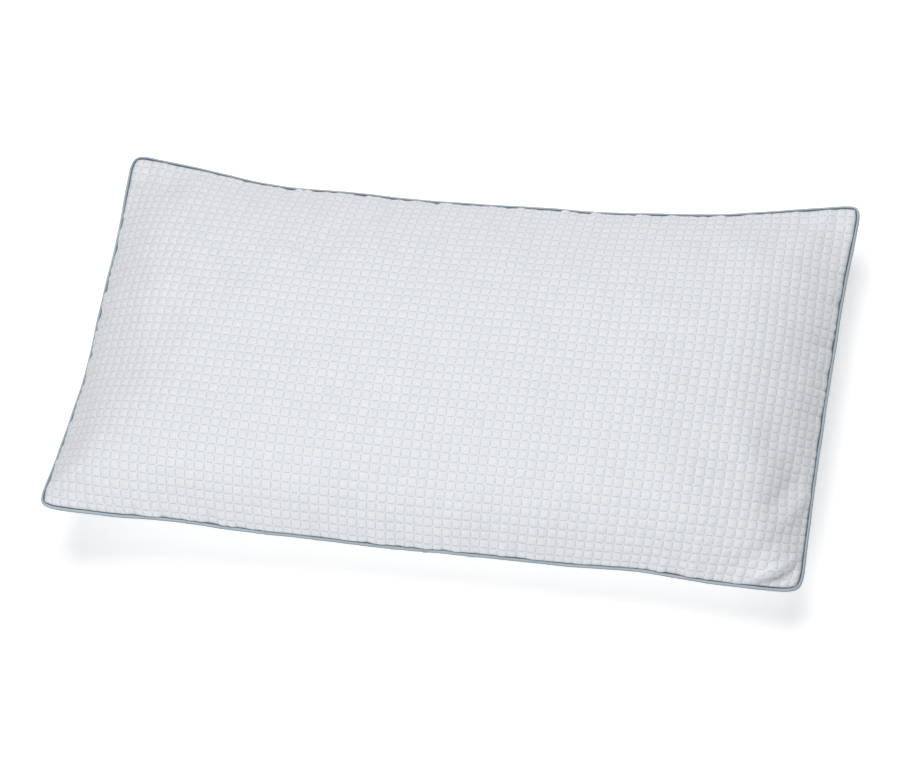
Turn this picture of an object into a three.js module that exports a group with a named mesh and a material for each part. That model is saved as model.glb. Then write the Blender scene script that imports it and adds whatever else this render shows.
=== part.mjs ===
// A king-size bed pillow lying flat. Two knitted panels meet in a corded edge: a satin strip wraps
// a filler cord, and its two flanges are sewn in between the panels. A lining bag inside holds the
// loose fibre fill. Millimetres, +Z up, +X along the pillow's length. The origin is on the ground,
// under the middle of the pillow.
import * as THREE from "three";

// The seam line, where the panels meet, measured to corners that aren't yet rounded
const SEAM_HALF_LENGTH = 456;
const SEAM_HALF_WIDTH = 255;
const CORNER_CUT = 5; // how far rounding takes the corner in, along X and along Y
const END_PULL = 9; // how far the filling pulls in the middle of a short side
const NEAR_PULL = 12; // the middle of the near long side, at -Y
const FAR_PULL = 38; // and the middle of the far long side
const PULL_POWER = 3;
const SEAM_HEIGHT = 66; // above the ground, at the middle of a side
// The light corners stand higher or lower: near left, near right, far left, far right
const CORNER_LIFTS = [[46, 2], [-6, 8]];
const LIFT_POWER = 1.5;

// How the filled bag swells from the seam line. Most of the fill has sunk to the near side, which
// is blunt, and the far side slopes.
const UPPER_RISE = 68;
const LOWER_DROP = 80; // what the ground doesn't stop
const LENGTH_POWER = 8;
const NEAR_POWER = 6.5;
const FAR_POWER = 1.8;
const SWELL_POWER = 0.75;

// Thickness of each layer, and the gap that parts two layers
const PANEL_THICKNESS = 1.8;
const LINING_THICKNESS = 0.6;
const LAYER_GAP = 0.4;
const SEAM_GAP = 1.3; // between a panel's edge and the flange under it
const INSET_START = 0.8; // inner layers draw in from the seam only in the outer fifth

// The corded edge
const CORD_RADIUS = 1.9;
const STRIP_THICKNESS = 0.4;
const STRIP_SLIT = 0.3; // between the two flanges, and round the cord
const FLANGE_WIDTH = 6;
const PIPING_RADIUS = CORD_RADIUS + STRIP_SLIT + STRIP_THICKNESS;
const PIPING_CENTRE = PIPING_RADIUS + 0.3; // outward from the seam line
const FLANGE_TOP = STRIP_SLIT / 2 + STRIP_THICKNESS;

// What is sewn on
const THREAD_RADIUS = 0.4;
const CLOSING_START = 90; // the hand-filled opening in the far side, along X
const CLOSING_LENGTH = 200;
const CLOSING_OUT = 0.2; // from the seam line, outward and down
const CLOSING_DOWN = 2.8;
const LABEL_START = -170;
const LABEL_WIDTH = 38;
const LABEL_LENGTH = 42;
const LABEL_THICKNESS = 0.5;
const LABEL_OUT = 1.2;
const LABEL_DOWN = PIPING_RADIUS + 0.6;

// How finely the curved faces are divided
const GRID_COLUMNS = 24;
const GRID_ROWS = 14;
const EDGE_CROWDING = 0.75; // 0 spaces the grid evenly, 1 crowds it most towards the seam
const CORD_SIDES = 6;
const STRIP_ARC_STEPS = 8;
const THREAD_SIDES = 6;
const THREAD_STEPS = 12;
const THREAD_POINTS = 5;
const LABEL_STEPS = 4;

// Grid lines run from -1 to 1 across the pillow, closer together near the seam.
function station(index, count) {
  const even = (2 * index) / count - 1;
  return THREE.MathUtils.lerp(even, Math.sin((even * Math.PI) / 2), EDGE_CROWDING);
}

// How far an inner layer is drawn in: fully at the seam, and not at all in the middle
function drawnIn(inset, share) {
  return (inset * Math.max(0, share - INSET_START)) / (1 - INSET_START);
}

// A point in plan: s and t run from -1 to 1 along X and Y, and inset draws the outline in.
function planPoint(s, t, inset) {
  const [across, along] = [Math.abs(s), Math.abs(t)];
  // These powers make the two sides meet at 45 degrees in the corner, so it is round.
  const cut = CORNER_CUT * (across ** SEAM_HALF_LENGTH * along ** SEAM_HALF_WIDTH) ** (0.5 / CORNER_CUT);
  const x = across * (SEAM_HALF_LENGTH - END_PULL * (1 - along ** PULL_POWER));
  const sidePull = t < 0 ? NEAR_PULL : FAR_PULL;
  const y = along * (SEAM_HALF_WIDTH - sidePull * (1 - across ** PULL_POWER));
  return [
    Math.sign(s) * (x - drawnIn(inset, across) - cut),
    Math.sign(t) * (y - drawnIn(inset, along) - cut),
  ];
}

function seamHeight(s, t) {
  const lift = CORNER_LIFTS[t < 0 ? 0 : 1][s < 0 ? 0 : 1];
  return SEAM_HEIGHT + lift * Math.abs(s * t) ** LIFT_POWER;
}

// 0 on the seam line and 1 in the middle of the pillow
function swell(s, t) {
  const widthPower = t < 0 ? NEAR_POWER : FAR_POWER;
  return ((1 - Math.abs(s) ** LENGTH_POWER) * (1 - Math.abs(t) ** widthPower)) ** SWELL_POWER;
}

// A sheet above the seam, inset in plan by inset, and depth below the outer face in the middle
function upperSheet(inset, depth, clearance) {
  return (s, t) => [
    ...planPoint(s, t, inset),
    seamHeight(s, t) + clearance + (UPPER_RISE - depth) * swell(s, t),
  ];
}

// The same below the seam, pressed flat where the outer face would reach the ground
function lowerSheet(inset, depth, clearance) {
  return (s, t) => [
    ...planPoint(s, t, inset),
    Math.max(0, seamHeight(s, t) - clearance - LOWER_DROP * swell(s, t)) + depth * swell(s, t),
  ];
}

function geometryOf(positions, triangles) {
  const geometry = new THREE.BufferGeometry();
  geometry.setAttribute("position", new THREE.Float32BufferAttribute(positions, 3));
  geometry.setIndex(triangles);
  geometry.computeVertexNormals();
  return geometry;
}

// The closed solid between two sheets, with a narrow rim where they end
function solidBetween(top, bottom) {
  const positions = [];
  const triangles = [];
  for (const sheet of [top, bottom])
    for (let row = 0; row <= GRID_ROWS; row++)
      for (let column = 0; column <= GRID_COLUMNS; column++)
        positions.push(...sheet(station(column, GRID_COLUMNS), station(row, GRID_ROWS)));
  const above = (column, row) => row * (GRID_COLUMNS + 1) + column;
  const below = (column, row) => above(column, row) + (GRID_COLUMNS + 1) * (GRID_ROWS + 1);
  const quad = (a, b, c, d) => triangles.push(a, b, c, a, c, d);
  for (let row = 0; row < GRID_ROWS; row++)
    for (let column = 0; column < GRID_COLUMNS; column++) {
      const around = [[column, row], [column + 1, row], [column + 1, row + 1], [column, row + 1]];
      // The diagonal points at the pillow's nearest corner, so no triangle there is a sliver.
      const sameSide = column < GRID_COLUMNS / 2 === row < GRID_ROWS / 2;
      if (!sameSide) around.push(around.shift());
      const [a, b, c, d] = around;
      quad(above(...a), above(...b), above(...c), above(...d));
      quad(below(...a), below(...d), below(...c), below(...b));
    }
  const rim = (from, to) => quad(below(...from), below(...to), above(...to), above(...from));
  for (let column = 0; column < GRID_COLUMNS; column++) {
    rim([column, 0], [column + 1, 0]);
    rim([column + 1, GRID_ROWS], [column, GRID_ROWS]);
  }
  for (let row = 0; row < GRID_ROWS; row++) {
    rim([GRID_COLUMNS, row], [GRID_COLUMNS, row + 1]);
    rim([0, row + 1], [0, row]);
  }
  return geometryOf(positions, triangles);
}

// Stations once round the seam line, anticlockwise seen from above, from the front left corner
function seamStations() {
  const stations = [];
  for (let column = 0; column < GRID_COLUMNS; column++) stations.push([station(column, GRID_COLUMNS), -1]);
  for (let row = 0; row < GRID_ROWS; row++) stations.push([1, station(row, GRID_ROWS)]);
  return [...stations, ...stations.map(([s, t]) => [-s, -t])];
}

const seamPoints = seamStations().map(([s, t]) => ({ s, t, plan: planPoint(s, t, 0) }));

// A point near the seam line: out from it in plan, and up from the surface midway between the panels
function pointBySeam({ s, t, plan }, outward, out, up) {
  const middle = seamHeight(s * (1 + out / SEAM_HALF_LENGTH), t * (1 + out / SEAM_HALF_WIDTH));
  return [plan[0] + outward.x * out, plan[1] + outward.y * out, middle + up];
}

// A closed ring: an outline of [outward, up] points, clockwise, carried once round the seam line
function ringAlongSeam(outline) {
  const positions = [];
  const triangles = [];
  const count = seamPoints.length;
  seamPoints.forEach((point, index) => {
    const before = seamPoints[(index + count - 1) % count].plan;
    const after = seamPoints[(index + 1) % count].plan;
    const outward = new THREE.Vector2(after[1] - before[1], before[0] - after[0]).normalize();
    for (const [out, up] of outline) positions.push(...pointBySeam(point, outward, out, up));
  });
  for (let index = 0; index < count; index++)
    for (let corner = 0; corner < outline.length; corner++) {
      const next = (corner + 1) % outline.length;
      const here = index * outline.length;
      const there = ((index + 1) % count) * outline.length;
      triangles.push(here + corner, here + next, there + next);
      triangles.push(here + corner, there + next, there + corner);
    }
  return geometryOf(positions, triangles);
}

// Points of a circle from one angle to another, in degrees from straight outward
function arc(centre, radius, from, to, steps) {
  return Array.from({ length: steps + 1 }, (_, step) => {
    const angle = THREE.MathUtils.degToRad(THREE.MathUtils.lerp(from, to, step / steps));
    return [centre + radius * Math.cos(angle), radius * Math.sin(angle)];
  });
}

function panelAbove() {
  const edge = FLANGE_TOP + SEAM_GAP;
  return solidBetween(upperSheet(0, 0, edge), upperSheet(PANEL_THICKNESS, PANEL_THICKNESS, edge));
}

function panelBelow() {
  const edge = FLANGE_TOP + SEAM_GAP;
  return solidBetween(lowerSheet(PANEL_THICKNESS, PANEL_THICKNESS, edge), lowerSheet(0, 0, edge));
}

// The lining bag ends inside the flanges, clear of them in the sharpest corner, and the fill thins
// out just short of the bag's seam.
const LINING_INSET = FLANGE_WIDTH + 4.5;
const LINING_DEPTH = PANEL_THICKNESS + LAYER_GAP;
const FILL_INSET = LINING_INSET + 8;
const FILL_DEPTH = LINING_DEPTH + LINING_THICKNESS + LAYER_GAP;

function liningAbove() {
  const [inset, depth] = [LINING_INSET + LINING_THICKNESS, LINING_DEPTH + LINING_THICKNESS];
  const outer = upperSheet(LINING_INSET, LINING_DEPTH, LAYER_GAP / 2);
  return solidBetween(outer, upperSheet(inset, depth, LAYER_GAP / 2));
}

function liningBelow() {
  const [inset, depth] = [LINING_INSET + LINING_THICKNESS, LINING_DEPTH + LINING_THICKNESS];
  const outer = lowerSheet(LINING_INSET, LINING_DEPTH, LAYER_GAP / 2);
  return solidBetween(lowerSheet(inset, depth, LAYER_GAP / 2), outer);
}

// One loose mass
function fibreFill() {
  const top = upperSheet(FILL_INSET, FILL_DEPTH, LAYER_GAP / 2);
  return solidBetween(top, lowerSheet(FILL_INSET, FILL_DEPTH, LAYER_GAP / 2));
}

// The strip goes out along one flange, round the cord, and back along the other flange.
function pipingCover() {
  const slitAngle = 180 - THREE.MathUtils.radToDeg(Math.asin(STRIP_SLIT / 2 / (CORD_RADIUS + STRIP_SLIT)));
  const flangeAngle = 180 - THREE.MathUtils.radToDeg(Math.asin(FLANGE_TOP / PIPING_RADIUS));
  return ringAlongSeam([
    [-FLANGE_WIDTH, FLANGE_TOP],
    ...arc(PIPING_CENTRE, PIPING_RADIUS, flangeAngle, -flangeAngle, STRIP_ARC_STEPS),
    [-FLANGE_WIDTH, -FLANGE_TOP],
    [-FLANGE_WIDTH, -STRIP_SLIT / 2],
    ...arc(PIPING_CENTRE, CORD_RADIUS + STRIP_SLIT, -slitAngle, slitAngle, STRIP_ARC_STEPS),
    [-FLANGE_WIDTH, STRIP_SLIT / 2],
  ]);
}

function pipingCord() {
  return ringAlongSeam(arc(PIPING_CENTRE, CORD_RADIUS, 360, 360 / CORD_SIDES, CORD_SIDES - 1));
}

// The thread that overlocks the raw edges of the panels and the flanges together
function seamThread() {
  const centre = -FLANGE_WIDTH - THREAD_RADIUS - LAYER_GAP;
  return ringAlongSeam(arc(centre, THREAD_RADIUS, 360, 90, 3));
}

// A point near the far side's seam, at a distance x along it
function farSidePoint(x, outward, up) {
  const s = x / SEAM_HALF_LENGTH;
  const y = planPoint(s, 1, 0)[1] + outward;
  return new THREE.Vector3(x, y, seamHeight(s, 1) + up);
}

// The line of slip stitches that shuts the filling opening, in the groove under the piping
function closingThread() {
  const points = Array.from({ length: THREAD_POINTS }, (_, index) => {
    const x = CLOSING_START + (CLOSING_LENGTH * index) / (THREAD_POINTS - 1);
    return farSidePoint(x, CLOSING_OUT, -CLOSING_DOWN);
  });
  const corners = arc(0, THREAD_RADIUS, 0, 360 - 360 / THREAD_SIDES, THREAD_SIDES - 1);
  const section = new THREE.Shape(corners.map(([x, y]) => new THREE.Vector2(x, y)));
  return new THREE.ExtrudeGeometry(section, {
    steps: THREAD_STEPS,
    extrudePath: new THREE.CatmullRomCurve3(points),
  });
}

// A blank tape that leaves the seam under the piping and hangs beside the lower panel
function careLabel() {
  const top = farSidePoint(LABEL_START + LABEL_WIDTH / 2, LABEL_OUT, -LABEL_DOWN);
  const size = [LABEL_WIDTH, LABEL_THICKNESS, LABEL_LENGTH];
  const label = new THREE.BoxGeometry(...size, LABEL_STEPS, 1, LABEL_STEPS);
  return label.translate(top.x, top.y, top.z - LABEL_LENGTH / 2);
}

// Colours as sRGB, with the roughness of each cloth
const KNIT = { color: "#e2e5ea", roughness: 0.9 };
const SATIN = { color: "#8d9eab", roughness: 0.45 };
const LINING = { color: "#eeeeec", roughness: 0.95 };
const FIBRE = { color: "#f4f4f2", roughness: 1 };
const CORD = { color: "#e6e2d8", roughness: 0.95 };
const THREAD = { color: "#c9d2da", roughness: 0.6 };
const TAPE = { color: "#f2f2f0", roughness: 0.7 };

const pieces = [
  ["front_panel", panelAbove, KNIT],
  ["back_panel", panelBelow, KNIT],
  ["front_lining", liningAbove, LINING],
  ["back_lining", liningBelow, LINING],
  ["fibre_fill", fibreFill, FIBRE],
  ["piping_cover", pipingCover, SATIN],
  ["piping_cord", pipingCord, CORD],
  ["seam_thread", seamThread, THREAD],
  ["closing_thread", closingThread, THREAD],
  ["care_label", careLabel, TAPE],
];

const pillow = new THREE.Group();
for (const [name, build, look] of pieces) {
  const mesh = new THREE.Mesh(build(), new THREE.MeshStandardMaterial({ ...look, metalness: 0 }));
  mesh.name = name;
  pillow.add(mesh);
}

export default pillow;
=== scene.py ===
"""The looks of a king-size bed pillow, piece by piece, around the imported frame.

The cover is two flat panels of knit, sewn together and swollen by cloth simulation. Everything that
follows the cover, such as the piping, lining and fill, takes its place from the simulated surface.
A point of cloth is known by its place on the flat cut: u along the length and v along the width,
each counted in squares of the knitted pattern.
"""
import math

import bpy
import numpy as np
from mathutils import Matrix, Vector


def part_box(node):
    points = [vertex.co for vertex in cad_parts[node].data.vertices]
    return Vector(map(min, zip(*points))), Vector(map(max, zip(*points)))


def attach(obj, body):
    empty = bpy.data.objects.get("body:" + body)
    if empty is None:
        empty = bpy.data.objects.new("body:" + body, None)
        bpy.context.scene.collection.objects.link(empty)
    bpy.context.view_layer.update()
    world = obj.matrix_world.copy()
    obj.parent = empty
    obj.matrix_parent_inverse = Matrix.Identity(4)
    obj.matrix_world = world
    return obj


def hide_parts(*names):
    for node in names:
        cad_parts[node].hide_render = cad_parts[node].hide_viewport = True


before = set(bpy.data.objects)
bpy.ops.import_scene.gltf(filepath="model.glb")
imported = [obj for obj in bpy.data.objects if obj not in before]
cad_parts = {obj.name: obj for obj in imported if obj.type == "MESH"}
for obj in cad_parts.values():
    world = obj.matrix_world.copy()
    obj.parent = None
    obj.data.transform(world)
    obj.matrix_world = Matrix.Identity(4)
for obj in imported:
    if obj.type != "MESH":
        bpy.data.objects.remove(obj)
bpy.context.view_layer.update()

# The flat cut, in squares of the pattern and in metres
SQUARES_LONG = 81
SQUARES_WIDE = 45
SQUARE = 0.01128
CUT_LENGTH = SQUARES_LONG * SQUARE
CUT_WIDTH = SQUARES_WIDE * SQUARE
CORNER_CUT = 0.005  # how far rounding takes a corner in, along each side

# The filled pillow in the frame: its seam line before the corners are rounded, and how it swells.
# The near side, at -Y, is blunt, because most of the fill has sunk towards it. A pull is how far the
# filling draws in the middle of a side, and a lift is how much higher than SEAM_HEIGHT a corner
# stands. The higher a power is, the nearer to the seam the curve turns.
SEAM_HALF_LENGTH = 0.456
SEAM_HALF_WIDTH = 0.255
END_PULL = 0.009
NEAR_PULL = 0.012
FAR_PULL = 0.038
PULL_POWER = 3
SEAM_HEIGHT = 0.066
NEAR_LIFTS = (0.046, 0.002)  # left and right
FAR_LIFTS = (-0.006, 0.008)
LIFT_POWER = 1.5
UPPER_RISE = 0.068
LOWER_DROP = 0.080
LENGTH_POWER = 8
NEAR_POWER = 6.5
FAR_POWER = 1.8
SWELL_POWER = 0.75
EVENING_ROUNDS = 4  # rounds of evening out the squares on the filled shape

# The knit
PANEL_THICKNESS = 0.0015
RELIEF = 0.0007  # how far a square stands above the grooves round it
GROOVE = 0.09  # half a groove's width, in squares
SHOULDER = 0.82  # a square's height beside a groove, as a share of its height in the middle
LINES = (0.0, GROOVE, 0.5, 1 - GROOVE)  # where mesh lines cross each square

# The corded edge: a strip folded round a cord, with its two flanges sewn in between the panels
PIPING_RADIUS = 0.0022
PIPING_OUT = 0.0023  # the cord's centre, outward from the seam
STRIP_THICKNESS = 0.0004
FLANGE_WIDTH = 0.006
FLANGE_FACES = (0.0005, 0.0001)  # outer and inner face of a flange, above or below the seam line
CORD_RADIUS = 0.0016
STRANDS = 3
STRAND_GROOVE = 0.20  # depth of the grooves between strands, as a share of the cord's radius
CORD_LAY = 0.012  # a strand goes once round the cord in this length
FLANGE_HALF_GAP = 0.0009  # a panel's edge above or below the seam line
SEAM_SMOOTHING = (2, 0.25)  # rounds, and each round's share of the way to the neighbours' mean

# The piping's unevenness, with wavelengths in metres
PIPING_WAVE = 0.025  # as a share of its radius
PIPING_WAVES = (0.011, 0.017, 0.026, 0.045)
PIPING_DRIFT = 0.0002  # outward and inward
PIPING_DRIFTS = (0.06, 0.11, 0.17)

# Small shape on the settled cloth. A start is the length of cloth over which it sets in from the seam,
# and a reach is the length over which it fades away. A set of random waves is given by its shortest
# and longest wavelength and how many there are.
SEAM_WANDER = (0.0007, 0.0008, 0.0015)  # along X, Y and Z
WANDER_REACH = 0.03
WANDER_WAVES = (0.13, 0.35, 6)
LUMP_HEIGHT = 0.0009
LUMP_START = 0.02
LUMP_WAVES = (0.05, 0.16, 24)
PUCKER_HEIGHT = 0.0018
PUCKER_START = 0.003
PUCKER_REACH = 0.014
PUCKER_LENGTHS = (0.013, 0.019, 0.031, 0.047)
GATHER_WAVES = (0.15, 0.3, 6)
ROLL_HEIGHT = 0.0040  # how far the cloth rolls over the seam beside the piping
ROLL_START = 0.0025
ROLL_REACH = 0.012
FOLD_START = 0.004
FOLD_TAPER = 0.42  # from a fold's middle to where it has faded, as a share of its length
GAP_REACH = 0.006  # the cloth over which the gap that the flanges fill fades away
RELIEF_START = 0.0015

# Cloth simulation
SIM_DETAIL = 1  # simulated squares per square of the pattern
SIM_FRAMES = 22
SHAPE_GOAL = 0.07  # how firmly the cloth is held to the start shape, from 0 to 1
SEAM_GOAL = 0.8  # the same, at the seam
MOST_MOVED = 0.009  # no point may end farther than this from the start shape
SETTLED_SMOOTHING = 3
CLOTH_SETTINGS = {
    "shrink_max": 0.02,
    "pin_stiffness": 1.0,
    "quality": 6,
    "mass": 0.02,
    "tension_stiffness": 30,
    "compression_stiffness": 30,
    "shear_stiffness": 3,
    "bending_stiffness": 1.0,
    "bending_damping": 0.5,
    "air_damping": 1,
    "use_pressure": True,
    "uniform_pressure_force": 0.2,
}

# The overlock thread winds round the flanges' raw edges, and the slip stitches lie under the piping
OVERLOCK_STITCHES = 520
OVERLOCK_OUT = -0.0072
OVERLOCK_SIZE = (0.0010, 0.0009)  # reach of a stitch either way, outward and upward
OVERLOCK_RADIUS = 0.00022
SLIP_STITCHES = 34
SLIP_PLACE = (0.0004, -0.0029)  # outward and upward from the seam
SLIP_SIZE = (0.0009, 0.0004)
SLIP_RADIUS = 0.00028
STITCH_POINTS = 8  # points along one stitch

# The label: the tape's flat size before it is folded double, and how it hangs
LABEL_CUT = (0.038, 0.084)
LABEL_THICKNESS = 0.00035
LABEL_OUT = 0.0005  # its middle, outward from the seam
LABEL_DOWN = 0.0034  # its top, below the seam
LABEL_FOLD_RADIUS = 0.0007
LABEL_CURL = 0.004  # how far its lower end curls outward
LABEL_BOW = 0.0012  # how far its lower end bows outward between its edges
LABEL_COLUMNS = 13
LABEL_ROWS = 15  # on each half
LABEL_FOLD_ROWS = 5

# Inside the cover. A surface's place is its edge's inset from the seam, in squares, and its depth under
# the cloth. Its closing is the cloth over which its upper and lower halves part from each other.
LINING_OUTSIDE = (1.1, 0.0030)
LINING_INSIDE = (1.12, 0.0034)
LINING_EDGE = (0.0004, 0.0001)  # outside and inside of each half, above or below the meeting line
LINING_CLOSING = 0.008
FILL_SURFACE = (1.6, 0.0050)
FILL_CLOSING = 0.012
TUFT_HEIGHT = 0.0004
TUFT_WAVES = (0.02, 0.05, 16)

# The camera, and what it looks at: the middle of the pillow at seam height, and aside and above it
CAMERA_TURN = math.radians(26.55)
CAMERA_RISE = math.radians(61.25)
CAMERA_ROLL = math.radians(-18.75)
CAMERA_DISTANCE = 5.757
CAMERA_LENS = 192.35
CAMERA_AIM = (-0.0062, -0.0213)
SENSOR_WIDTH = 36

# The studio
SKY_COLOUR = (0.96, 0.98, 1.0, 1)
SKY_STRENGTH = 0.20
LIGHT_COLOUR = (0.975, 0.982, 1.0)
LIGHT_TARGET = (0, 0, 0.05)
LIGHTS = (  # name, place, size, watts
    ("overhead", (-0.05, 0.7, 2.4), 2.2, 53),
    ("front_fill", (-0.3, -2.0, 1.0), 1.8, 20),
)
FLOOR_GLOW = 0.37
FLOOR_SIZE = 14
FLOOR_GAP = 0.0002  # the floor lies this far below the pillow, so that the two never share a face

RIDES_ON = "root"
rng = np.random.default_rng(7)


# ---------------------------------------------------------------- the flat cut and the start shape

def unit_grid():
    """Places on the cut from -1 to 1, as two arrays indexed [along, across]."""
    s = np.linspace(-1, 1, SQUARES_LONG * SIM_DETAIL + 1)
    t = np.linspace(-1, 1, SQUARES_WIDE * SIM_DETAIL + 1)
    return np.meshgrid(s, t, indexing="ij")


def outline_plan(s, t, half_length, half_width, end_pull, side_pull):
    """Plan of the cut, or of the filled pillow when its sides are pulled in between the corners.

    A corner's rounding starts at about the same distance from it on both of its sides.
    """
    along, across = np.abs(s), np.abs(t)
    cut = CORNER_CUT * (along**half_length * across**half_width) ** (0.5 / CORNER_CUT)
    x = along * (half_length - end_pull * (1 - across**PULL_POWER)) - cut
    y = across * (half_width - side_pull * (1 - along**PULL_POWER)) - cut
    return np.sign(s) * x, np.sign(t) * y


def filled_sheet(s, t, side):
    """The upper sheet of the filled bag (side 1) or the lower one (side -1), in the frame."""
    near, left = t < 0, s < 0
    side_pull = np.where(near, NEAR_PULL, FAR_PULL)
    x, y = outline_plan(s, t, SEAM_HALF_LENGTH, SEAM_HALF_WIDTH, END_PULL, side_pull)
    lift = np.where(near, np.where(left, *NEAR_LIFTS), np.where(left, *FAR_LIFTS))
    middle = SEAM_HEIGHT + lift * np.abs(s * t) ** LIFT_POWER
    width_power = np.where(near, NEAR_POWER, FAR_POWER)
    room = (1 - np.abs(s) ** LENGTH_POWER) * (1 - np.abs(t) ** width_power)
    swell = room.clip(0) ** SWELL_POWER
    z = middle + UPPER_RISE * swell if side > 0 else np.maximum(0, middle - LOWER_DROP * swell)
    return np.stack([x, y, z], -1)


def evened(places, points, axis):
    """Shifts places on the cut so that the points of every grid line lie evenly along it."""
    places, points = np.moveaxis(places, axis, 0).copy(), np.moveaxis(points, axis, 0)
    steps = np.linalg.norm(np.diff(points, axis=0), axis=-1)
    run = np.concatenate([np.zeros_like(steps[:1]), np.cumsum(steps, axis=0)])
    share = np.linspace(0, 1, len(run))
    for line in range(run.shape[1]):
        places[:, line] = np.interp(share, run[:, line] / run[-1, line], places[:, line])
    return np.moveaxis(places, 0, axis)


def start_sheet(side):
    """A filled sheet whose squares are about equally long all along any line of them."""
    s, t = unit_grid()
    for _ in range(EVENING_ROUNDS):
        s = evened(s, filled_sheet(s, t, side), 0)
        t = evened(t, filled_sheet(s, t, side), 1)
    return filled_sheet(s, t, side)


# ---------------------------------------------------------------- mesh helpers

def grid_faces(index, flip=False):
    """The faces between the points of a grid, given the number of each point."""
    faces = np.stack([index[:-1, :-1], index[1:, :-1], index[1:, 1:], index[:-1, 1:]], -1)
    faces = faces.reshape(-1, 4)
    return faces[:, ::-1] if flip else faces


def border(grid):
    """The outer points of a grid, once round, anticlockwise."""
    return np.concatenate([grid[:-1, 0], grid[-1, :-1], grid[:0:-1, -1], grid[0, :0:-1]])


def make_object(name, points, faces, smooth=True):
    """A mesh object in the scene."""
    mesh = bpy.data.meshes.new(name)
    mesh.from_pydata(points.tolist(), [], [list(map(int, f)) for f in faces])
    mesh.update()
    if smooth:
        mesh.shade_smooth()
    piece = bpy.data.objects.new(name, mesh)
    bpy.context.scene.collection.objects.link(piece)
    return piece


def bag_mesh(upper, lower):
    """Points and faces of a closed bag, from two grids that share their border, and their indices."""
    inner = np.zeros(upper.shape[:2], bool)
    inner[1:-1, 1:-1] = True
    upper_index = np.arange(inner.size).reshape(inner.shape)
    lower_index = upper_index.copy()
    lower_index[inner] = inner.size + np.arange(inner.sum())
    points = np.concatenate([upper.reshape(-1, 3), lower[inner]])
    faces = np.concatenate([grid_faces(upper_index), grid_faces(lower_index, flip=True)])
    return points, faces, (upper_index, lower_index)


def make_cloth(name, outer, inner, side=1):
    """Cloth with thickness: an outer and an inner grid of points, closed all round by a rim."""
    outer_index = np.arange(outer[..., 0].size).reshape(outer.shape[:2])
    inner_index = outer_index + outer_index.size
    edge, inner_edge = border(outer_index), border(inner_index)
    rim = np.stack([inner_edge, np.roll(inner_edge, -1), np.roll(edge, -1), edge], -1)
    faces = [*grid_faces(outer_index, side < 0), *grid_faces(inner_index, side > 0)]
    faces += [*(rim if side > 0 else rim[:, ::-1])]
    return make_object(name, np.concatenate([outer.reshape(-1, 3), inner.reshape(-1, 3)]), faces)


def add_attribute(piece, name, values):
    """A three-part value on every point, which the materials read."""
    attribute = piece.data.attributes.new(name, "FLOAT_VECTOR", "POINT")
    attribute.data.foreach_set("vector", values.astype(np.float32).ravel())


def normals_of(grid):
    """Unit normals of a grid of points."""
    along = np.gradient(grid, axis=0)
    across = np.gradient(grid, axis=1)
    normals = np.cross(along, across)
    return normals / np.linalg.norm(normals, axis=-1, keepdims=True).clip(1e-12)


def spline_at(values, places):
    """Catmull-Rom interpolation along the first axis, at places counted in steps."""
    before, after = 2 * values[:1] - values[1:2], 2 * values[-1:] - values[-2:-1]
    padded = np.concatenate([before, values, after])
    cell = np.clip(np.floor(places).astype(int), 0, len(values) - 2)
    f = (places - cell).reshape(-1, *[1] * (values.ndim - 1))
    a, b, c, d = (padded[cell + k] for k in range(4))
    square, cube = 2 * a - 5 * b + 4 * c - d, 3 * b - a - 3 * c + d
    return 0.5 * (2 * b + (c - a) * f + square * f**2 + cube * f**3)


def refine(grid, along, across):
    """The grid's smooth surface at places given in squares of the pattern."""
    fine = spline_at(grid, along * SIM_DETAIL)
    return spline_at(fine.swapaxes(0, 1), across * SIM_DETAIL).swapaxes(0, 1)


def smoothed(grid, times):
    """Evens out small bumps, and leaves the border alone."""
    grid = grid.copy()
    for _ in range(times):
        inner = grid[:-2, 1:-1] + grid[2:, 1:-1] + grid[1:-1, :-2] + grid[1:-1, 2:]
        grid[1:-1, 1:-1] += 0.5 * (inner / 4 - grid[1:-1, 1:-1])
    return grid


# ---------------------------------------------------------------- cloth simulation

def simulate(start, flat, faces, seam):
    """Lets the flat cut settle round the start shape, and gives its points back."""
    bag = make_object("cloth_bag", start, faces)
    bag.shape_key_add(name="Basis")
    rest = bag.shape_key_add(name="flat")
    rest.data.foreach_set("co", flat.astype(np.float32).ravel())
    rest.value = 0
    held = bag.vertex_groups.new(name="held")
    held.add(list(range(len(start))), SHAPE_GOAL, "REPLACE")
    held.add([int(i) for i in seam], SEAM_GOAL, "REPLACE")
    gathered = bag.vertex_groups.new(name="gathered")
    gathered.add([int(i) for i in seam], 1.0, "REPLACE")
    cloth = bag.modifiers.new("cloth", "CLOTH")
    cloth.settings.rest_shape_key = rest
    cloth.settings.vertex_group_mass = held.name
    cloth.settings.vertex_group_shrink = gathered.name
    for setting, value in CLOTH_SETTINGS.items():
        setattr(cloth.settings, setting, value)
    cloth.settings.effector_weights.gravity = 0
    cloth.collision_settings.use_collision = False
    cloth.point_cache.frame_end = SIM_FRAMES + 1
    return run_simulation(bag)


def run_simulation(bag):
    """Plays the frames, gives the settled points back and removes the bag."""
    for number in range(1, SIM_FRAMES + 1):
        bpy.context.scene.frame_set(number)
    settled_bag = bag.evaluated_get(bpy.context.evaluated_depsgraph_get())
    mesh = bag.data
    points = np.empty(len(mesh.vertices) * 3, np.float32)
    settled_bag.data.vertices.foreach_get("co", points)
    bpy.context.scene.frame_set(1)
    bpy.data.objects.remove(bag)
    bpy.data.meshes.remove(mesh)
    return points.reshape(-1, 3).astype(float)


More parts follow.
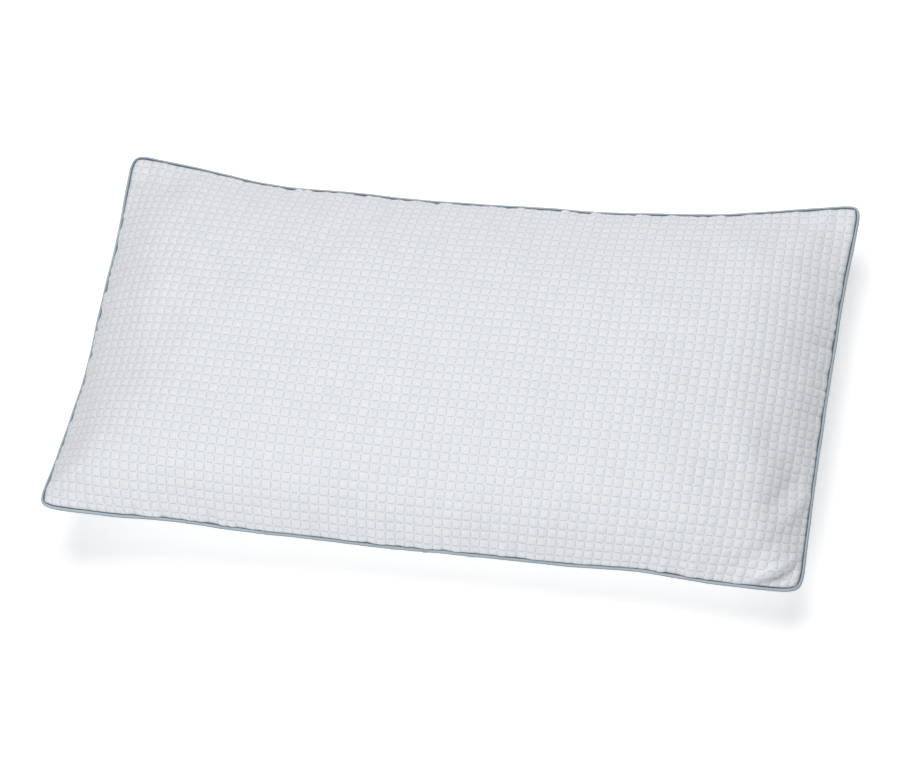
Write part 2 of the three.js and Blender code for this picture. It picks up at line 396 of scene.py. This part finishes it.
def settled_sheets():
    """The upper and lower sheets after the simulation, as grids of points that share the seam."""
    x, y = outline_plan(*unit_grid(), CUT_LENGTH / 2, CUT_WIDTH / 2, 0, 0)
    cut = np.stack([x, y, np.zeros_like(x)], -1)
    flat, faces, indices = bag_mesh(cut, cut)
    start, _, _ = bag_mesh(start_sheet(1), start_sheet(-1))
    settled = start
    settled = simulate(start, flat, faces, np.unique(border(indices[0])))
    moved = settled - start
    distance = np.linalg.norm(moved, axis=1, keepdims=True)
    settled = start + moved * np.minimum(1, MOST_MOVED / distance.clip(1e-9))
    wander = seam_wander(x.shape)
    return [smoothed(settled[index], SETTLED_SMOOTHING) + wander for index in indices]


def seam_wander(shape):
    """How far the sewn edge wanders: shifts that both sheets share, fading into the cloth."""
    along = np.linspace(0, SQUARES_LONG, shape[0])
    across = np.linspace(0, SQUARES_WIDE, shape[1])
    u, v = np.meshgrid(along, across, indexing="ij")
    shifts = [size * waves_at(random_waves(*WANDER_WAVES), u, v) for size in SEAM_WANDER]
    return np.stack(shifts, -1) * fading(seam_distance(u, v), WANDER_REACH)[..., None]


# ---------------------------------------------------------------- fine surfaces of the cover

def square_lines(count, fractions, inset=0.0):
    """Places of the mesh lines across count squares, drawn in from both ends by inset squares."""
    places = np.append((np.arange(count)[:, None] + np.array(fractions)).ravel(), count)
    return inset + places * (count - 2 * inset) / count


def seam_distance(u, v):
    """Metres of cloth from a place to the nearest seam."""
    return SQUARE * np.minimum(np.minimum(u, SQUARES_LONG - u), np.minimum(v, SQUARES_WIDE - v))


def fading(distance, reach):
    """1 at the seam, and fading away over the reach."""
    return np.exp(-distance / reach)


def growing(distance, reach):
    """0 at the seam, and growing towards 1 over the reach."""
    return 1 - fading(distance, reach)


def random_waves(shortest, longest, count):
    """Plane waves with wavelengths in metres: steps along u and v for each square, and a phase."""
    lengths = rng.uniform(shortest, longest, count)
    turns, phases = rng.uniform(0, 2 * math.pi, (2, count))
    pace = 2 * math.pi * SQUARE / lengths
    return np.stack([pace * np.cos(turns), pace * np.sin(turns), phases], -1)


def waves_at(waves, u, v):
    """The sum of the waves, about 1 either way."""
    return sum(np.cos(a * u + b * v + phase) for a, b, phase in waves) / math.sqrt(len(waves))


def fold(u, v, start, end, width, height):
    """A soft fold that fades out at two places on the cut. A negative height is a crease."""
    start, end = np.array(start, float), np.array(end, float)
    run = end - start
    length = np.linalg.norm(run)
    du, dv = u - start[0], v - start[1]
    along = ((du * run[0] + dv * run[1]) / length**2).clip(-0.3, 1.3)
    aside = (du * run[1] - dv * run[0]) / length
    taper = np.exp(-(((along - 0.5) / FOLD_TAPER) ** 4))
    return height * taper * np.exp(-((aside / width) ** 2))


# Folds in the upper panel: start, end, half width in squares, height in metres
UPPER_FOLDS = (
    ((20, 31), (22, 41), 1.8, 0.0026),
    ((24, 30), (26.5, 41), 1.5, -0.0026),
    ((30, 33), (31, 42), 1.8, 0.0020),
    ((10, 20), (14, 37), 2.2, -0.0022),
    ((52, 20), (62, 31), 2.4, -0.0028),
    ((56, 16), (68, 25), 2.4, 0.0025),
    ((62, 30), (70, 38), 2.2, -0.0020),
    ((34, 8), (52, 12), 2.6, -0.0016),
    ((75.5, 0.6), (80.2, 3.4), 0.5, 0.0060),
    ((76.2, 0.0), (80.6, 2.2), 0.55, -0.0060),
    ((72.5, 1.0), (79.0, 6.5), 1.0, -0.0026),
    ((75.5, 8.0), (79.5, 13.5), 1.1, -0.0038),
    ((77.5, 6.5), (80.6, 11.5), 0.8, 0.0028),
    ((74.0, 11.0), (78.0, 17.0), 1.2, 0.0020),
    ((0.4, 1.6), (5.5, 3.6), 0.7, -0.0032),
    ((1.6, 3.4), (6.0, 6.4), 0.9, 0.0020),
    ((1.0, 43.4), (7, 40.5), 0.9, -0.0026),
    ((74, 43.6), (80, 40.5), 0.9, -0.0022),
)
LOWER_FOLDS = (
    ((14, 6), (26, 3), 1.6, -0.0020),
    ((60, 40), (70, 43), 1.6, -0.0020),
    ((2, 40), (7, 36), 1.0, -0.0024),
    ((74, 4), (79, 8), 1.0, -0.0024),
)


class Sheet:
    """One side of the settled bag, with the folds and random detail that belong to it."""

    def __init__(self, grid, side, folds):
        self.grid, self.side, self.folds = grid, side, folds
        self.lumps = random_waves(*LUMP_WAVES)
        self.gathers = random_waves(*GATHER_WAVES)
        self.ripples = [(length, rng.uniform()) for length in PUCKER_LENGTHS]

    def puckers(self, u, v):
        """Short ripples that the gathered seam sends into the cloth, strongest beside it."""
        nearer_end = np.minimum(u, SQUARES_LONG - u) < np.minimum(v, SQUARES_WIDE - v)
        place = SQUARE * np.where(nearer_end, v + SQUARES_LONG, u)
        ripple = sum(
            np.sin(2 * math.pi * (place / length + phase)) * (length / 0.03) ** 0.5
            for length, phase in self.ripples
        )
        strength = 0.6 + 0.4 * waves_at(self.gathers, u, v).clip(-1, 1)
        distance = seam_distance(u, v)
        return ripple * strength * fading(distance, PUCKER_REACH) * growing(distance, PUCKER_START)

    def shape(self, u, v):
        """How far the cloth stands out from the settled sheet."""
        distance = seam_distance(u, v)
        lumps = LUMP_HEIGHT * waves_at(self.lumps, u, v) * growing(distance, LUMP_START)
        folds = sum(fold(u, v, *details) for details in self.folds) * growing(distance, FOLD_START)
        roll = ROLL_HEIGHT * growing(distance, ROLL_START) * fading(distance, ROLL_REACH)
        return lumps + folds + PUCKER_HEIGHT * self.puckers(u, v) + roll

    def surface(self, along, across):
        """The middle of the cloth at places in squares, its outward normals, and the places."""
        u, v = np.meshgrid(along, across, indexing="ij")
        surface = refine(self.grid, along, across)
        surface += self.side * normals_of(surface) * self.shape(u, v)[..., None]
        surface[..., 2] += self.side * FLANGE_HALF_GAP * fading(seam_distance(u, v), GAP_REACH)
        if self.side < 0:
            surface[..., 2] = surface[..., 2].clip(RELIEF)
        return surface, self.side * normals_of(surface), u, v


def relief(u, v):
    """How far each mesh point stands out: squares with soft shoulders, flat where the seam holds.

    A mesh line lies in the middle of a groove, beside a groove, or in the middle of a square.
    """
    def profile(places):
        to_groove = 0.5 - np.abs(places % 1 - 0.5)
        return np.where(to_groove < 1e-6, 0, np.where(to_groove < 0.3, SHOULDER, 1))
    return RELIEF * profile(u) * profile(v) * growing(seam_distance(u, v), RELIEF_START)


def cover_rim(outer_index, inner_index):
    """Triangles between the outer border and the inner one, which has half as many points."""
    outer, inner = border(outer_index), border(inner_index)
    a, b, c = outer[::2], outer[1::2], np.roll(outer[::2], -1)
    d, e = inner, np.roll(inner, -1)
    return np.concatenate([np.stack(t, -1) for t in ((d, e, c), (d, c, b), (d, b, a))])


def cover_panel(name, sheet):
    """One panel with its relief outside, a plain inside of half the mesh lines, and a rim."""
    side = sheet.side
    along, across = square_lines(SQUARES_LONG, LINES), square_lines(SQUARES_WIDE, LINES)
    surface, normals, u, v = sheet.surface(along, across)
    outer = surface + normals * relief(u, v)[..., None]
    outer[..., 2] = outer[..., 2].clip(0)
    inner = (surface - normals * PANEL_THICKNESS)[::2, ::2]
    outer_index = np.arange(outer[..., 0].size).reshape(outer.shape[:2])
    inner_index = outer_index.size + np.arange(inner[..., 0].size).reshape(inner.shape[:2])
    rim = cover_rim(outer_index, inner_index)
    faces = [*grid_faces(outer_index, side < 0), *grid_faces(inner_index, side > 0)]
    faces += [*(rim if side > 0 else rim[:, ::-1])]
    piece = make_object(name, np.concatenate([outer.reshape(-1, 3), inner.reshape(-1, 3)]), faces)
    places = np.stack([u, v, np.full_like(u, side)], -1)
    inner_places = places[::2, ::2]
    add_attribute(piece, "cloth", np.concatenate([places.reshape(-1, 3), inner_places.reshape(-1, 3)]))
    return piece


# ---------------------------------------------------------------- pieces along the seam

def seam_path(upper):
    """The seam line as a closed run of points, and the lengths along it up to each and all round."""
    lines = np.arange(4) / 4
    surface = refine(upper, square_lines(SQUARES_LONG, lines), square_lines(SQUARES_WIDE, lines))
    points = border(surface)
    rounds, share = SEAM_SMOOTHING
    for _ in range(rounds):
        points += share * (np.roll(points, 1, 0) + np.roll(points, -1, 0) - 2 * points)
    steps = np.linalg.norm(np.roll(points, -1, 0) - points, axis=1)
    return points, np.concatenate([[0], np.cumsum(steps)])


def seam_axes(points):
    """Outward and up directions square to the seam line at each of its points."""
    tangent = np.roll(points, -1, 0) - np.roll(points, 1, 0)
    tangent /= np.linalg.norm(tangent, axis=1, keepdims=True)
    outward = np.cross(tangent, (0, 0, 1))
    outward /= np.linalg.norm(outward, axis=1, keepdims=True)
    return outward, np.cross(outward, tangent)


def at_seam(path, places, out, up):
    """Points beside the seam: places in metres along it, out and up in metres from it."""
    points, lengths = path
    closed = np.concatenate([points, points[:1]])
    outward, upward = (np.concatenate([axis, axis[:1]]) for axis in seam_axes(points))
    here = places % lengths[-1]
    def look_up(table):
        return np.stack([np.interp(here, lengths, column) for column in table.T], -1)
    return look_up(closed) + look_up(outward) * out[:, None] + look_up(upward) * up[:, None]


def swept_ring(name, path, outline):
    """A closed ring. outline gives arrays of out and up, indexed [place along the seam, corner]."""
    points, lengths = path
    outward, upward = seam_axes(points)
    out, up = outline(lengths[:-1])
    grid = points[:, None] + outward[:, None] * out[..., None] + upward[:, None] * up[..., None]
    count, corners = out.shape
    index = np.arange(count * corners).reshape(count, corners)
    index = np.concatenate([index, index[:1]])
    index = np.concatenate([index, index[:, :1]], 1)
    piece = make_object(name, grid.reshape(-1, 3), grid_faces(index, flip=True))
    around = np.broadcast_to(np.arange(corners) / corners, (count, corners))
    along = np.broadcast_to(lengths[:-1, None], (count, corners))
    add_attribute(piece, "ring", np.stack([along, around, np.zeros_like(along)], -1).reshape(-1, 3))
    return piece


def tube(name, centres, radius, sides):
    """A tube with closed ends along a run of points."""
    tangent = np.gradient(centres, axis=0)
    tangent /= np.linalg.norm(tangent, axis=1, keepdims=True)
    aside = np.cross(tangent, (0, 0, 1))
    aside /= np.linalg.norm(aside, axis=1, keepdims=True).clip(1e-9)
    above = np.cross(aside, tangent)
    angles = np.arange(sides) * 2 * math.pi / sides
    rings = centres[:, None] + radius * (
        aside[:, None] * np.cos(angles)[:, None] + above[:, None] * np.sin(angles)[:, None]
    )
    index = np.arange(len(centres) * sides).reshape(len(centres), sides)
    closed = np.concatenate([index, index[:, :1]], 1)
    faces = [*grid_faces(closed, flip=True), index[0], index[-1][::-1]]
    return make_object(name, rings.reshape(-1, 3), faces)


def slow_noise(lengths, wavelengths):
    """A smooth random wave of about 1 either way that closes on itself once round the seam."""
    total = sum(
        np.sin(2 * math.pi * (round(lengths[-1] / length) * lengths / lengths[-1] + rng.uniform()))
        for length in wavelengths
    )
    return total / math.sqrt(len(wavelengths))


def piping_cover(path):
    """The satin strip: along one flange, round the cord, and back along the other flange.

    Its outer and inner circles, in degrees from straight outward, are open towards the flanges.
    """
    def outline(lengths):
        wave = slow_noise(lengths, PIPING_WAVES)[:, None]
        drift = slow_noise(lengths, PIPING_DRIFTS)[:, None]
        radius = PIPING_RADIUS * (1 + PIPING_WAVE * wave)
        hollow = radius - STRIP_THICKNESS
        outer = np.radians(np.linspace(168, -168, 15))
        inner = np.radians(np.linspace(-174, 174, 11))
        all_round = np.ones_like(wave)
        edge = -FLANGE_WIDTH * all_round
        outside, inside = (height * all_round for height in FLANGE_FACES)
        circle_out = PIPING_OUT + PIPING_DRIFT * drift + radius * np.cos(outer)
        hollow_out = PIPING_OUT + hollow * np.cos(inner)
        out = (edge, circle_out, edge, edge, hollow_out, edge)
        up = (outside, radius * np.sin(outer), -outside, -inside, hollow * np.sin(inner), inside)
        return np.concatenate(out, 1), np.concatenate(up, 1)
    return swept_ring("satin_piping", path, outline)


def piping_cord(path):
    """Three cotton strands twisted together."""
    def outline(lengths):
        turns = round(lengths[-1] / CORD_LAY)
        twist = 2 * math.pi * turns * lengths[:, None] / lengths[-1]
        angle = -np.linspace(0, 2 * math.pi, 4 * STRANDS, endpoint=False)[None]
        rounding = np.abs(np.cos(STRANDS / 2 * (angle - twist)))
        radius = CORD_RADIUS * (1 - STRAND_GROOVE + STRAND_GROOVE * rounding)
        return PIPING_OUT + radius * np.cos(angle), radius * np.sin(angle)
    return swept_ring("twisted_cord", path, outline)


def seam_thread(path):
    """Overlock stitches that wind round the raw edges of the flanges."""
    places = np.linspace(0, path[1][-1], OVERLOCK_STITCHES * STITCH_POINTS + 1)[:-1]
    angle = 2 * math.pi * np.arange(len(places)) / STITCH_POINTS
    out = OVERLOCK_OUT + OVERLOCK_SIZE[0] * np.cos(angle)
    up = OVERLOCK_SIZE[1] * np.sin(angle)
    return tube("overlock_stitches", at_seam(path, places, out, up), OVERLOCK_RADIUS, 4)


def far_side_places(path, x_from, x_to, count):
    """Places along the seam on the far long side, between two values of x."""
    points, lengths = path
    y = points[:, 1]
    far = np.where(y > 0.9 * y.max())[0]
    far = far[np.argsort(points[far, 0])]
    return np.interp(np.linspace(x_from, x_to, count), points[far, 0], lengths[far])


def closing_thread(path):
    """Slip stitches in the groove under the piping, where the filling opening was shut."""
    low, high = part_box("closing_thread")
    places = far_side_places(path, low.x, high.x, SLIP_STITCHES * STITCH_POINTS)
    angle = 2 * math.pi * np.arange(len(places)) / STITCH_POINTS
    out = SLIP_PLACE[0] + SLIP_SIZE[0] * np.sin(angle)
    up = SLIP_PLACE[1] - SLIP_SIZE[1] * np.cos(angle)
    return tube("slip_stitches", at_seam(path, places, out, up), SLIP_RADIUS, 6)


def label_line(hang):
    """The folded tape seen from its side: how far out each row stands, and how far down it hangs."""
    straight = np.linspace(0, hang, LABEL_ROWS)
    angle = np.linspace(0, math.pi, LABEL_FOLD_ROWS + 2)[1:-1]
    front = np.full(LABEL_ROWS, LABEL_OUT + LABEL_FOLD_RADIUS)
    back = np.full(LABEL_ROWS, LABEL_OUT - LABEL_FOLD_RADIUS)
    out = np.concatenate([front, LABEL_OUT + LABEL_FOLD_RADIUS * np.cos(angle), back])
    down = np.concatenate([straight, hang + LABEL_FOLD_RADIUS * np.sin(angle), straight[::-1]])
    return out + LABEL_CURL * (down / hang) ** 2, down


def care_label(path):
    """A blank tape folded double, sewn into the seam and hanging from it."""
    low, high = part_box("care_label")
    hang = high.z - low.z
    out, down = label_line(hang)
    places = far_side_places(path, low.x, high.x, LABEL_COLUMNS)
    across = np.linspace(-1, 1, LABEL_COLUMNS)
    strip = []
    for place, share in zip(places, across):
        bow = LABEL_BOW * (1 - share**2) * (down / hang)
        strip.append(at_seam(path, np.full(len(down), place), out + bow, -LABEL_DOWN - down))
    strip = np.array(strip)
    half = normals_of(strip) * LABEL_THICKNESS / 2
    piece = make_cloth("blank_label", strip + half, strip - half)
    u, v = np.meshgrid(across, down / hang, indexing="ij")
    values = np.stack([u * LABEL_CUT[0] / 2, v * hang, np.zeros_like(u)], -1).reshape(-1, 3)
    add_attribute(piece, "tape", np.concatenate([values, values]))
    return piece


# ---------------------------------------------------------------- inside the cover

def nested(sheets, side, inset, depth, closing):
    """A surface inside the cover. The upper and the lower one share their edge."""
    along = square_lines(SQUARES_LONG, (0, 0.5), inset)
    across = square_lines(SQUARES_WIDE, (0, 0.5), inset)
    upper, lower = (sheet.surface(along, across) for sheet in sheets)
    middle = (upper[0] + lower[0]) / 2
    surface, normals, u, v = upper if side > 0 else lower
    surface = surface - depth * normals
    distance = seam_distance(u, v) - inset * SQUARE
    surface = middle + (surface - middle) * growing(distance, closing)[..., None]
    surface[..., 2] = surface[..., 2].clip(depth)
    return surface, u, v


def lining(name, sheets, side):
    """Half of the plain bag that holds the fill."""
    outer, u, v = nested(sheets, side, *LINING_OUTSIDE, LINING_CLOSING)
    inner, _, _ = nested(sheets, side, *LINING_INSIDE, LINING_CLOSING)
    outer[..., 2] += side * LINING_EDGE[0]
    inner[..., 2] += side * LINING_EDGE[1]
    piece = make_cloth(name, outer, inner, side)
    places = np.stack([u, v, np.full_like(u, side)], -1).reshape(-1, 3)
    add_attribute(piece, "cloth", np.concatenate([places, places]))
    return piece


def fibre_fill(sheets):
    """One loose mass of fibre, lumpy all over."""
    halves = []
    for side in (1, -1):
        surface, u, v = nested(sheets, side, *FILL_SURFACE, FILL_CLOSING)
        tufts = waves_at(random_waves(*TUFT_WAVES), u, v)
        surface[..., 2] -= side * TUFT_HEIGHT * (1 + tufts)
        halves.append(surface)
    points, faces, _ = bag_mesh(*halves)
    return make_object("loose_fibre", points, faces)


# ---------------------------------------------------------------- materials

class Graph:
    """A material and its nodes. Most methods add one node and give its output back."""

    def __init__(self, name, **values):
        self.material = bpy.data.materials.new(name)
        self.material.use_nodes = True
        self.tree = self.material.node_tree
        self.shader = self.tree.nodes["Principled BSDF"]
        for socket, value in values.items():
            self.shader.inputs[socket.replace("_", " ")].default_value = value

    def feed(self, socket, value):
        if isinstance(value, bpy.types.NodeSocket):
            self.tree.links.new(value, socket)
        else:
            socket.default_value = value

    def node(self, kind, inputs, **settings):
        made = self.tree.nodes.new(kind)
        for key, value in settings.items():
            setattr(made, key, value)
        for socket, value in inputs.items():
            self.feed(made.inputs[socket], value)
        return made

    def math(self, operation, *values):
        return self.node("ShaderNodeMath", dict(enumerate(values)), operation=operation).outputs[0]

    def step(self, value, low, high, start=0.0, end=1.0):
        inputs = {0: value, 1: low, 2: high, 3: start, 4: end}
        return self.node("ShaderNodeMapRange", inputs, interpolation_type="SMOOTHSTEP").outputs[0]

    def mix(self, share, first, second):
        inputs = {0: share, 6: first, 7: second}
        return self.node("ShaderNodeMix", inputs, data_type="RGBA").outputs[2]

    def attribute(self, name):
        vector = self.node("ShaderNodeAttribute", {}, attribute_name=name).outputs["Vector"]
        return vector, self.node("ShaderNodeSeparateXYZ", {0: vector}).outputs

    def position(self):
        return self.node("ShaderNodeTexCoord", {}).outputs["Object"]

    def scaled(self, vector, scale):
        inputs = {0: vector, 1: scale}
        return self.node("ShaderNodeVectorMath", inputs, operation="MULTIPLY").outputs[0]

    def noise(self, vector, scale, detail=2.0):
        inputs = {"Vector": vector, "Scale": scale, "Detail": detail}
        return self.node("ShaderNodeTexNoise", inputs).outputs[0]

    def bump(self, height, depth, normal=None):
        inputs = {"Height": height, "Distance": depth, "Strength": 1.0}
        if normal is not None:
            inputs["Normal"] = normal
        return self.node("ShaderNodeBump", inputs).outputs[0]

    def finish(self, colour, roughness, normal):
        self.feed(self.shader.inputs["Base Color"], colour)
        self.feed(self.shader.inputs["Roughness"], roughness)
        self.feed(self.shader.inputs["Normal"], normal)
        return self.material


def ribs(graph, value, per_unit):
    """Rounded ribs from 0 to 1, so many to a unit."""
    turn = graph.math("MULTIPLY", value, per_unit * math.pi)
    return graph.math("ABSOLUTE", graph.math("SINE", turn))


def knit_material():
    """Off-white raised squares, each of fine knitted ribs, on a pale blue ground with blue lines."""
    graph = Graph("knit_cover", Sheen_Weight=0.25, Sheen_Roughness=0.5, Specular_IOR_Level=0.25)
    vector, (u, v, _) = graph.attribute("cloth")
    to_u, to_v = (graph.math("PINGPONG", value, 0.5) for value in (u, v))
    nearest, farthest = (graph.math(name, to_u, to_v) for name in ("MINIMUM", "MAXIMUM"))
    corner = [graph.math("MAXIMUM", graph.math("SUBTRACT", 0.19, to), 0.0) for to in (to_u, to_v)]
    reach = graph.math("SQRT", graph.math("ADD", *(graph.math("MULTIPLY", c, c) for c in corner)))
    square = graph.step(reach, 0.13, 0.07)
    line = graph.math("MULTIPLY", graph.step(nearest, 0.07, 0.02), graph.step(farthest, 0.08, 0.2))
    cells = graph.node("ShaderNodeVectorMath", {0: vector}, operation="FLOOR").outputs[0]
    tint = graph.node("ShaderNodeTexWhiteNoise", {"Vector": cells}).outputs["Value"]
    cloudy = graph.noise(vector, 0.12, 3.0)
    square_colour = graph.mix(tint, (0.81, 0.815, 0.82, 1), (0.84, 0.84, 0.84, 1))
    ground = graph.mix(cloudy, (0.80, 0.815, 0.83, 1), (0.82, 0.835, 0.85, 1))
    ground = graph.mix(line, ground, (0.58, 0.65, 0.705, 1))
    colour = graph.mix(square, ground, square_colour)
    courses = ribs(graph, v, 8)
    wales = ribs(graph, u, 7)
    knit = graph.math("MULTIPLY", *(graph.math("POWER", rib, 0.6) for rib in (courses, wales)))
    fuzz = graph.noise(vector, 5.0, 4.0)
    shade = graph.math("MULTIPLY_ADD", knit, 0.12, graph.step(fuzz, 0.35, 0.65, 0.76, 0.97))
    colour = graph.mix(shade, graph.scaled(colour, (0.55, 0.58, 0.62)), colour)
    height = graph.math("MULTIPLY_ADD", fuzz, 0.6, knit)
    roughness = graph.step(fuzz, 0.3, 0.7, 0.78, 0.9)
    return graph.finish(colour, roughness, graph.bump(height, 0.00020))


def satin_material():
    """Grey-blue satin, cut on the bias, with fine slanting threads, a painted highlight on its crown
    and painted shade beside it.
    """
    graph = Graph("satin_piping", Sheen_Weight=0.2, Specular_IOR_Level=0.55, Coat_Weight=0.15,
                  Coat_Roughness=0.35)
    vector, (along, around, _) = graph.attribute("ring")
    slant = graph.math("MULTIPLY_ADD", around, 0.017, along)
    threads = ribs(graph, slant, 2400)
    streaks = graph.noise(graph.scaled(vector, (60, 6, 1)), 1.0, 3.0)
    patches = graph.noise(graph.scaled(vector, (9, 2, 1)), 1.0, 2.0)
    # The crown is the top of the piping. It gets a painted highlight where light falls on it, with
    # patches of the painted shade showing through.
    crown = graph.math("MULTIPLY", graph.step(around, 0.10, 0.15), graph.step(around, 0.26, 0.19))
    painted_highlight = graph.mix(streaks, (0.46, 0.55, 0.61, 1), (0.56, 0.645, 0.70, 1))
    # Painted shade: off its crown the satin is much darker. This stands for the shadow the fabric casts
    # in the slit beside the piping and the shade on its underside.
    colour = graph.mix(streaks, (0.09, 0.13, 0.17, 1), (0.15, 0.20, 0.25, 1))
    colour = graph.mix(crown, colour, graph.mix(graph.math("MULTIPLY", patches, 0.4), painted_highlight, colour))
    colour = graph.mix(graph.math("MULTIPLY", threads, 0.2), colour, (0.17, 0.23, 0.29, 1))
    roughness = graph.step(streaks, 0.3, 0.7, 0.34, 0.5)
    return graph.finish(colour, roughness, graph.bump(threads, 0.00005))


def lining_material():
    """Thin white cotton in plain weave."""
    graph = Graph("lining_cotton", Sheen_Weight=0.15, Specular_IOR_Level=0.3)
    vector, (u, v, _) = graph.attribute("cloth")
    weave = graph.math("MULTIPLY", ribs(graph, u, 22), ribs(graph, v, 22))
    slubs = graph.noise(graph.scaled(vector, (2, 14, 1)), 1.0, 3.0)
    colour = graph.mix(slubs, (0.78, 0.78, 0.77, 1), (0.86, 0.86, 0.85, 1))
    roughness = graph.step(slubs, 0.3, 0.7, 0.8, 0.92)
    return graph.finish(colour, roughness, graph.bump(weave, 0.0001))


def fibre_material():
    """White polyester fluff."""
    graph = Graph("loose_fibre", Sheen_Weight=0.5, Sheen_Roughness=0.4, Specular_IOR_Level=0.3)
    position = graph.position()
    clumps = graph.noise(position, 40.0, 4.0)
    strands = graph.noise(graph.scaled(position, (900, 260, 500)), 1.0, 5.0)
    colour = graph.mix(clumps, (0.80, 0.80, 0.79, 1), (0.90, 0.90, 0.89, 1))
    height = graph.math("MULTIPLY_ADD", clumps, 4.0, strands)
    roughness = graph.step(strands, 0.3, 0.7, 0.8, 0.95)
    return graph.finish(colour, roughness, graph.bump(height, 0.0006))


def thread_material(name, darker, lighter, ribs_per_metre):
    """Spun thread, with its twist as slanting ribs."""
    graph = Graph(name, Sheen_Weight=0.2, Specular_IOR_Level=0.4)
    position = graph.position()
    x, y, z = graph.node("ShaderNodeSeparateXYZ", {0: position}).outputs
    lay = graph.math("ADD", graph.math("ADD", x, y), z)
    twist = ribs(graph, lay, ribs_per_metre)
    worn = graph.noise(position, 300.0, 3.0)
    colour = graph.mix(graph.math("MULTIPLY", twist, worn), darker, lighter)
    return graph.finish(colour, graph.step(worn, 0.3, 0.7, 0.55, 0.75), graph.bump(twist, 0.00006))


def tape_material():
    """White woven label tape, with firm selvedges and no printing."""
    graph = Graph("label_tape", Sheen_Weight=0.1, Specular_IOR_Level=0.45)
    vector, (across, down, _) = graph.attribute("tape")
    weave = graph.math("MULTIPLY", ribs(graph, across, 2600), ribs(graph, down, 3000))
    edge = graph.step(graph.math("ABSOLUTE", across), 0.0165, 0.0175)
    cloudy = graph.noise(graph.scaled(vector, (120, 400, 1)), 1.0, 3.0)
    colour = graph.mix(cloudy, (0.80, 0.81, 0.82, 1), (0.87, 0.87, 0.87, 1))
    colour = graph.mix(graph.math("MULTIPLY", edge, 0.4), colour, (0.68, 0.71, 0.74, 1))
    height = graph.math("MULTIPLY_ADD", edge, 2.0, weave)
    return graph.finish(colour, graph.step(cloudy, 0.3, 0.7, 0.45, 0.6), graph.bump(height, 0.00006))


def floor_material():
    """White studio floor, lit enough to lose its edge."""
    graph = Graph("studio_floor", Emission_Color=(1, 1, 1, 1), Emission_Strength=FLOOR_GLOW,
                  Specular_IOR_Level=0.0)
    mottle = graph.noise(graph.position(), 3.0, 2.0)
    colour = graph.mix(mottle, (0.86, 0.86, 0.86, 1), (0.88, 0.88, 0.88, 1))
    return graph.finish(colour, 0.9, graph.bump(mottle, 0.00001))


# ---------------------------------------------------------------- studio

def camera_axes():
    """Right, up and back directions of the camera."""
    back = Vector((
        math.sin(CAMERA_TURN) * math.cos(CAMERA_RISE),
        -math.cos(CAMERA_TURN) * math.cos(CAMERA_RISE),
        math.sin(CAMERA_RISE),
    ))
    level = Vector((math.cos(CAMERA_TURN), math.sin(CAMERA_TURN), 0))
    tilt = Matrix.Rotation(CAMERA_ROLL, 3, back)
    return tilt @ level, tilt @ back.cross(level), back


def add_camera():
    right, up, back = camera_axes()
    data = bpy.data.cameras.new("camera")
    data.lens = CAMERA_LENS
    data.sensor_width = SENSOR_WIDTH
    data.clip_end = 50
    camera = bpy.data.objects.new("camera", data)
    bpy.context.scene.collection.objects.link(camera)
    aim = Vector((0, 0, SEAM_HEIGHT)) + right * CAMERA_AIM[0] + up * CAMERA_AIM[1]
    turned = Matrix((right, up, back)).transposed().to_4x4()
    camera.matrix_world = Matrix.Translation(aim + back * CAMERA_DISTANCE) @ turned
    bpy.context.scene.camera = camera


def add_light(name, place, size, watts):
    data = bpy.data.lights.new(name, "AREA")
    data.shape = "DISK"
    data.size = size
    data.energy = watts
    data.color = LIGHT_COLOUR
    light = bpy.data.objects.new(name, data)
    bpy.context.scene.collection.objects.link(light)
    light.location = place
    towards = Vector(LIGHT_TARGET) - Vector(place)
    light.rotation_euler = towards.to_track_quat("-Z", "Y").to_euler()


def add_sky():
    world = bpy.data.worlds.new("studio")
    world.use_nodes = True
    background = world.node_tree.nodes["Background"]
    background.inputs["Color"].default_value = SKY_COLOUR
    background.inputs["Strength"].default_value = SKY_STRENGTH
    bpy.context.scene.world = world


def add_floor():
    corners = np.array([(-1, -1), (1, -1), (1, 1), (-1, 1)]) * FLOOR_SIZE / 2
    points = np.concatenate([corners, np.full((4, 1), -FLOOR_GAP)], 1)
    floor = make_object("studio_floor", points, [range(4)], smooth=False)
    floor.data.materials.append(floor_material())


def add_studio():
    add_floor()
    add_sky()
    for light in LIGHTS:
        add_light(*light)
    bpy.context.scene.view_settings.view_transform = "Standard"


# ---------------------------------------------------------------- the pillow

def put_on_frame(piece, node, material):
    """Puts a finished piece on the frame in the stead of its CAD node."""
    piece.data.materials.append(material)
    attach(piece, RIDES_ON)
    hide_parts(node)
    return piece


def build_pillow():
    upper, lower = settled_sheets()
    path = seam_path(upper)
    sheets = Sheet(upper, 1, UPPER_FOLDS), Sheet(lower, -1, LOWER_FOLDS)
    knit, lining_cloth = knit_material(), lining_material()
    fill = put_on_frame(fibre_fill(sheets), "fibre_fill", fibre_material())
    for node, sheet in zip(("front_panel", "back_panel"), sheets):
        panel = put_on_frame(cover_panel("knit_" + node, sheet), node, knit)
    for node, side in (("front_lining", 1), ("back_lining", -1)):
        bag = put_on_frame(lining("cotton_" + node, sheets, side), node, lining_cloth)
    piping = put_on_frame(piping_cover(path), "piping_cover", satin_material())
    cotton = thread_material("cotton_cord", (0.62, 0.61, 0.58, 1), (0.84, 0.83, 0.80, 1), 500)
    put_on_frame(piping_cord(path), "piping_cord", cotton)
    spun = thread_material("spun_thread", (0.50, 0.56, 0.61, 1), (0.80, 0.83, 0.86, 1), 1800)
    put_on_frame(seam_thread(path), "seam_thread", spun)
    put_on_frame(closing_thread(path), "closing_thread", spun)
    label = put_on_frame(care_label(path), "care_label", tape_material())


add_camera()
add_studio()
build_pillow()
